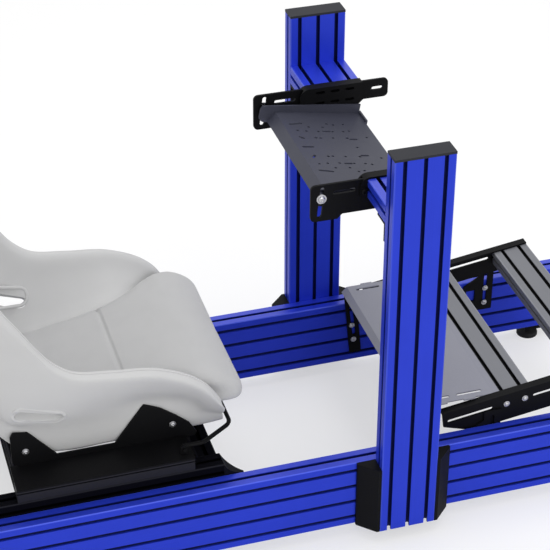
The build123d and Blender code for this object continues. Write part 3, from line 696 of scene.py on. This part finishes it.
# Rings past an end ring: each goes on by the sine, and is drawn in against its own outline by one
# less the cosine, of an angle up to 80 degrees.
def roundedEnd(ring, inner, v):
    ahead = ring - inner
    ahead /= np.linalg.norm(ahead, axis=1)[:, None]
    tangent = np.roll(ring, -1, axis=0) - np.roll(ring, 1, axis=0)
    inward = np.cross(tangent, ahead)
    inward /= np.linalg.norm(inward, axis=1)[:, None]
    radius = v["endRadius"] * mm
    hub = ring[:v["around"] // 3].mean(axis=0)
    if ((hub - ring[:3]) * inward[:3]).sum() < 0:
        inward = -inward
    turn = np.radians([20.0, 40.0, 60.0, 80.0])
    return np.array([ring + radius * (math.sin(a) * ahead + (1 - math.cos(a)) * inward) for a in turn])


# Straight-sided outline with round ends in the X-Z plane, turned by an angle about Y, at a
# distance from the centre plane.
def stadium(v, grow, distance, count=48):
    x, z, length, width, angle = v["outline"]
    z = z + (v["givenAt"] - distance) * v["climb"]
    radius, reach = width / 2 + grow, (length - width) / 2
    turn = np.linspace(0, 2 * math.pi, count, endpoint=False)
    px = radius * np.cos(turn) + np.where(np.cos(turn) > 0, reach, -reach)
    pz = radius * np.sin(turn)
    c, s = math.cos(math.radians(angle)), math.sin(math.radians(angle))
    return np.stack([x + px * c - pz * s, z + px * s + pz * c], axis=1)


# Applies a piece's modifiers.
def bake(piece):
    depsgraph = bpy.context.evaluated_depsgraph_get()
    mesh = bpy.data.meshes.new_from_object(piece.evaluated_get(depsgraph))
    piece.modifiers.clear()
    piece.data = mesh


# An outline in millimetres put at its place, at one or many distances in metres along Y.
def placed(outline, y):
    x, z = outline[:, 0] * mm + postX, outline[:, 1] * mm
    return np.stack([x, np.broadcast_to(y, len(outline)), z], axis=1)


# Cuts the slot out of both side walls: prisms between two distances from the centre plane.
def cutSlots(piece, v):
    stacks = []
    for sign in sides:
        ends = [placed(stadium(v, 0.0, distance), sign * distance * mm) for distance in v["cut"]]
        stacks.append(np.array(ends))
    cutter = skin("slotCutter", stacks, piece.data.materials[0], "seat_carriage")
    modifier = piece.modifiers.new("slot", "BOOLEAN")
    modifier.object = cutter
    modifier.solver = "EXACT"
    bake(piece)
    bpy.data.objects.remove(cutter)


# Height of a wall over the X-Z plane: |y| of the surface grid's points nearest to each place,
# weighted by how near they are.
def wallAt(grid, places):
    flat = grid.reshape(-1, 3)
    gaps = np.hypot(flat[:, 0][None] - places[:, 0][:, None], flat[:, 2][None] - places[:, 1][:, None])
    near = np.argsort(gaps, axis=1)[:, :6]
    weights = 1 / (np.take_along_axis(gaps, near, axis=1) + 0.0005) ** 2
    return (flat[near, 1] * weights).sum(axis=1) / weights.sum(axis=1)


# Moulded edging round a belt slot: a small rounded profile carried round the slot's outline and
# lying on the wall. The outline climbs with its distance, and the wall's distance depends on the
# outline, so the two are worked out in turn a few times.
def slotEdging(v, grid, sign, outward):
    distance = v["givenAt"]
    for _ in range(6):
        walls = wallAt(grid, stadium(v, v["edgingAt"], distance) * mm + np.array([postX, 0.0]))
        distance = walls.mean() / mm
    rings = [placed(stadium(v, grow, distance), sign * (walls + outward * lift * mm))
             for grow, lift in v["edging"]]
    return np.swapaxes(np.array(rings), 0, 1)


# Round cord of a given radius along a path: at each point, a ring across the path's direction.
def tubeAlong(path, radius, around=8):
    path = np.asarray(path, float)
    ahead = np.gradient(path, axis=0)
    ahead /= np.linalg.norm(ahead, axis=1)[:, None]
    side = np.cross(ahead, np.array([0.0, 0.0, 1.0]))
    side /= np.linalg.norm(side, axis=1)[:, None]
    other = np.cross(side, ahead)
    turn = np.arange(around) * 2 * math.pi / around
    return (path[:, None] + radius * (np.cos(turn)[None, :, None] * side[:, None]
                                      + np.sin(turn)[None, :, None] * other[:, None]))


# Soft pads: side outline in X and Z, half width at places along X, radius of the rounded edges,
# voxel size, how far the cloth may swell, and the cross seams by their X or their height.
cushionValues = {
    "outline": [
        (-655, 290), (-663, 308), (-657, 329), (-600, 344), (-535, 355), (-473, 369), (-415, 387),
        (-368, 400), (-330, 405), (-298, 400), (-271, 386), (-251, 367), (-243, 347), (-246, 331),
        (-259, 322), (-283, 320), (-302, 322), (-318, 327), (-345, 344), (-400, 340), (-520, 314),
        (-600, 298),
    ],
    "halfWidth": [
        (-665, 150), (-560, 154), (-473, 157), (-430, 163), (-395, 175), (-365, 190), (-335, 200),
        (-300, 206), (-240, 206),
    ],
    "edge": 26.0,
    "voxel": 6.0,
    "swell": 5.0,
    "seams": [-473.0],
    "seamDepth": 5.0,
    "seamWidth": 3.4,
}
backValues = {
    "outline": [
        (-672, 345), (-700, 424), (-745, 540), (-785, 646), (-822, 745), (-868, 872), (-903, 962),
        (-930, 1022), (-944, 1034), (-958, 1026), (-955, 1000), (-938, 940), (-912, 868), (-866, 742),
        (-828, 630), (-790, 520), (-752, 410), (-715, 320), (-694, 312), (-678, 322),
    ],
    "halfWidth": [
        (-975, 90), (-940, 104), (-905, 146), (-868, 184), (-822, 184), (-760, 170), (-700, 156),
        (-660, 150),
    ],
    "edge": 22.0,
    "voxel": 7.0,
    "swell": 5.0,
    "seams": [520.0, 610.0, 700.0, 800.0, 905.0],
    "seamDepth": 5.0,
    "seamWidth": 3.4,
}


# A smooth closed curve through corners, evenly spaced by its chord.
def closedCurve(corners, count):
    corners = np.array(corners, float)
    ring = np.concatenate([corners[-2:], corners, corners[:3]])
    knots = np.concatenate([[0.0], np.cumsum(np.hypot(*np.diff(ring, axis=0).T))])
    at = np.linspace(knots[2], knots[len(corners) + 2], count, endpoint=False)
    return through(knots, ring, at)


# A pad: its outline is carried across Y, closer set towards the ends, and near each end it is
# drawn in against itself along a quarter circle, by a share of the edge radius.
def padRings(v, along=96, across=44, share=0.85):
    outline = closedCurve(v["outline"], along)
    hub = outline.mean(axis=0)
    widthX, width = np.array(v["halfWidth"], float).T
    half = np.interp(outline[:, 0], widthX, width)
    shares = np.sin(np.linspace(-1, 1, across) * math.pi / 2)
    thin = np.minimum(1.0, (1 - np.abs(shares)) * half.mean() / v["edge"])
    drawIn = v["edge"] * (1 - np.sqrt(np.clip(1 - (1 - thin) ** 2, 0, 1)))
    tangent = np.roll(outline, -1, axis=0) - np.roll(outline, 1, axis=0)
    tangent /= np.linalg.norm(tangent, axis=1)[:, None]
    inward = np.stack([-tangent[:, 1], tangent[:, 0]], axis=1)
    if ((hub - outline) * inward).sum() < 0:
        inward = -inward
    place = outline[None] + drawIn[:, None, None] * inward[None] * share
    y = shares[:, None] * half[None]
    return np.stack([place[..., 0] * mm + postX, y * mm, place[..., 1] * mm], axis=-1)


clothValues = {"frames": 20, "pressure": 4.0, "stiffness": 15.0, "mass": 0.3, "quality": 5}


# Puffs a pad: voxel remesh, then a cloth with pressure inside and no gravity. A point may move no
# further than the swell, and the result is applied.
def puff(piece, v):
    remesh = piece.modifiers.new("even", "REMESH")
    remesh.mode = "VOXEL"
    remesh.voxel_size = v["voxel"] * mm
    bake(piece)
    start = np.zeros(len(piece.data.vertices) * 3)
    piece.data.vertices.foreach_get("co", start)
    cloth = piece.modifiers.new("cloth", "CLOTH")
    settings = cloth.settings
    settings.quality = clothValues["quality"]
    settings.mass = clothValues["mass"]
    settings.use_pressure = True
    settings.uniform_pressure_force = clothValues["pressure"]
    settings.tension_stiffness = clothValues["stiffness"]
    settings.effector_weights.gravity = 0.0
    cloth.collision_settings.use_collision = False
    scene, last = bpy.context.scene, clothValues["frames"]
    cloth.point_cache.frame_start, cloth.point_cache.frame_end = 1, last
    for step in range(1, last + 1):
        scene.frame_set(step)
    bake(piece)
    scene.frame_set(1)
    end = np.zeros(len(start))
    piece.data.vertices.foreach_get("co", end)
    move = (end - start).reshape(-1, 3)
    far = np.linalg.norm(move, axis=1)[:, None]
    move *= np.minimum(1.0, v["swell"] * mm / np.maximum(far, 1e-9))
    piece.data.vertices.foreach_set("co", (start.reshape(-1, 3) + move).ravel())
    piece.data.update()


# Sewn channels: after one subdivision, each point near a seam is pulled in against its normal by a
# bell curve of its distance from the seam.
def sew(piece, v, axis):
    fine = piece.modifiers.new("fine", "SUBSURF")
    fine.levels = fine.render_levels = 1
    bake(piece)
    mesh = piece.data
    place = np.zeros(len(mesh.vertices) * 3)
    normal = np.zeros(len(mesh.vertices) * 3)
    mesh.vertices.foreach_get("co", place)
    mesh.vertices.foreach_get("normal", normal)
    place, normal = place.reshape(-1, 3), normal.reshape(-1, 3)
    along = (place[:, axis] - (postX if axis == alongX else 0.0)) / mm
    depth = np.zeros(len(place))
    for seam in v["seams"]:
        depth += np.exp(-((along - seam) / v["seamWidth"]) ** 2)
    place -= normal * (depth * v["seamDepth"] * mm)[:, None]
    mesh.vertices.foreach_set("co", place.ravel())
    mesh.polygons.foreach_set("use_smooth", np.ones(len(mesh.polygons), dtype=bool))
    mesh.update()


def addSeat():
    v, body, slot = shellValues, "seat_carriage", "pale_grey_shell"
    shellLook, fabric = looks["pale_grey_shell"], looks["pale_grey_fabric"]
    rings, closedRings = shellRings(v)
    shell = skin("seatShell", [closedRings], shellLook, body, sharp=60)
    cutSlots(shell, slotValues)
    shell.data.set_sharp_from_angle(angle=math.radians(50))
    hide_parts("seat_shell")
    outerEnd, ridgeAt, liningStart, liningEnd = (int(v["around"] * share) for share in (
        v["outerWall"], v["ridge"], *v["innerWall"]))
    outer, lining = rings[:, :outerEnd], rings[:, liningStart:liningEnd]
    edgings = [slotEdging(slotValues, grid, sign, outward) for sign in sides
               for grid, outward in ((outer, 1.0), (lining, -1.0))]
    skin("seatSlotEdging", edgings, shellLook, body, sharp=60, closed=True)
    welts = [tubeAlong(rings[:, ridgeAt] * np.array([1.0, sign, 1.0]), v["welt"] * mm)
             for sign in sides]
    skin("seatRimWelt", welts, shellLook, body, sharp=80)
    for name, node, values, axis in (("seatCushion", "seat_cushion", cushionValues, alongX),
                                     ("seatBackPad", "seat_back_pad", backValues, alongZ)):
        pad = skin(name, [padRings(values)], fabric, body, sharp=80)
        puff(pad, values)
        sew(pad, values, axis)
        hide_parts(node)
        print(name, len(pad.data.polygons), "faces")


addSeat()

print("camera")
cameraValues = {
    "place": (-0.855817, -2.954856, 2.499953),
    "turn": 16.89606,       # degrees from +Y towards +X
    "down": 33.25694,       # degrees below level
    "lens": 117.818,
    "sensor": 36.0,
    "reach": 60.0,
}


def addCamera(values):
    data = bpy.data.cameras.new("photoCamera")
    data.lens = values["lens"]
    data.sensor_width = values["sensor"]
    data.sensor_fit = "HORIZONTAL"
    data.clip_end = values["reach"]
    camera = bpy.data.objects.new("photoCamera", data)
    camera.location = values["place"]
    camera.rotation_euler = (math.radians(90 - values["down"]), 0.0, math.radians(-values["turn"]))
    bpy.context.scene.collection.objects.link(camera)
    bpy.context.scene.camera = camera


# Strength of the world; place, target, width in metres and power in watts of the two lamps; the
# floor's grey for bounced light, its grey and glow for the camera, and half its width in metres.
lightValues = {
    "world": 0.80,
    "top": {"place": (0.3, 0.6, 4.2), "aim": (0.0, 0.0, 0.4), "size": 3.0, "power": 38.0},
    "front": {"place": (0.6, -4.4, 2.4), "aim": (-0.2, 0.0, 0.5), "size": 3.0, "power": 46.0},
    "floor": 0.80,
    "floorSeen": 0.50,
    "floorLift": 0.52,
    "floorReach": 30.0,
}


# A round area lamp whose -Z axis is turned to its target.
def addLamp(name, values):
    data = bpy.data.lights.new(name, "AREA")
    data.shape = "DISK"
    data.size = values["size"]
    data.energy = values["power"]
    lamp = bpy.data.objects.new(name, data)
    place, aim = np.array(values["place"]), np.array(values["aim"])
    lamp.location = place
    away = place - aim
    lamp.rotation_euler = (math.atan2(math.hypot(away[0], away[1]), away[2]), 0.0,
                           math.atan2(away[0], -away[1]))
    bpy.context.scene.collection.objects.link(lamp)


# The world lights the object at a plain level, and shows white to the camera and in reflections.
def addWorld(level):
    world = bpy.data.worlds.new("studio")
    world.use_nodes = True
    bpy.context.scene.world = world
    tree = world.node_tree
    tree.nodes.clear()
    path = tree.nodes.new("ShaderNodeLightPath")
    back = tree.nodes.new("ShaderNodeBackground")
    output = tree.nodes.new("ShaderNodeOutputWorld")
    share = path.outputs["Is Camera Ray"]
    for seen in ("Is Glossy Ray", "Is Transmission Ray"):
        most = tree.nodes.new("ShaderNodeMath")
        most.operation = "MAXIMUM"
        tree.links.new(share, most.inputs[0])
        tree.links.new(path.outputs[seen], most.inputs[1])
        share = most.outputs[0]
    strength = tree.nodes.new("ShaderNodeMapRange")
    strength.inputs["To Min"].default_value = level
    strength.inputs["To Max"].default_value = 1.0
    tree.links.new(share, strength.inputs["Value"])
    tree.links.new(strength.outputs[0], back.inputs["Strength"])
    back.inputs["Color"].default_value = colour(1.0, 1.0, 1.0)
    tree.links.new(back.outputs[0], output.inputs["Surface"])


# A flat pale square far wider than the view. For the camera it glows a little, so that it goes
# white where no shadow falls.
def addFloor(values):
    look = Look("paleFloor", Roughness=0.95, Specular_IOR_Level=0.0, Emission_Strength=1.0)
    bounced, shown, glow = values["floor"], values["floorSeen"], values["floorLift"]
    seen = look.node("ShaderNodeLightPath", out="Is Camera Ray")
    look.set("Base Color", look.mix(seen, colour(bounced, bounced, bounced), colour(shown, shown, shown)))
    look.set("Emission Color", look.mix(seen, colour(0, 0, 0), colour(glow, glow, glow)))
    reach = values["floorReach"]
    corners = [(-reach, -reach, 0.0), (reach, -reach, 0.0), (reach, reach, 0.0), (-reach, reach, 0.0)]
    mesh = bpy.data.meshes.new("floor")
    mesh.from_pydata(corners, [], [(0, 1, 2, 3)])
    mesh.materials.append(look.material)
    floor = bpy.data.objects.new("floor", mesh)
    bpy.context.scene.collection.objects.link(floor)


addCamera(cameraValues)
addWorld(lightValues["world"])
addLamp("topLamp", lightValues["top"])
addLamp("frontLamp", lightValues["front"])
addFloor(lightValues)
bpy.context.scene.view_settings.view_transform = "Standard"
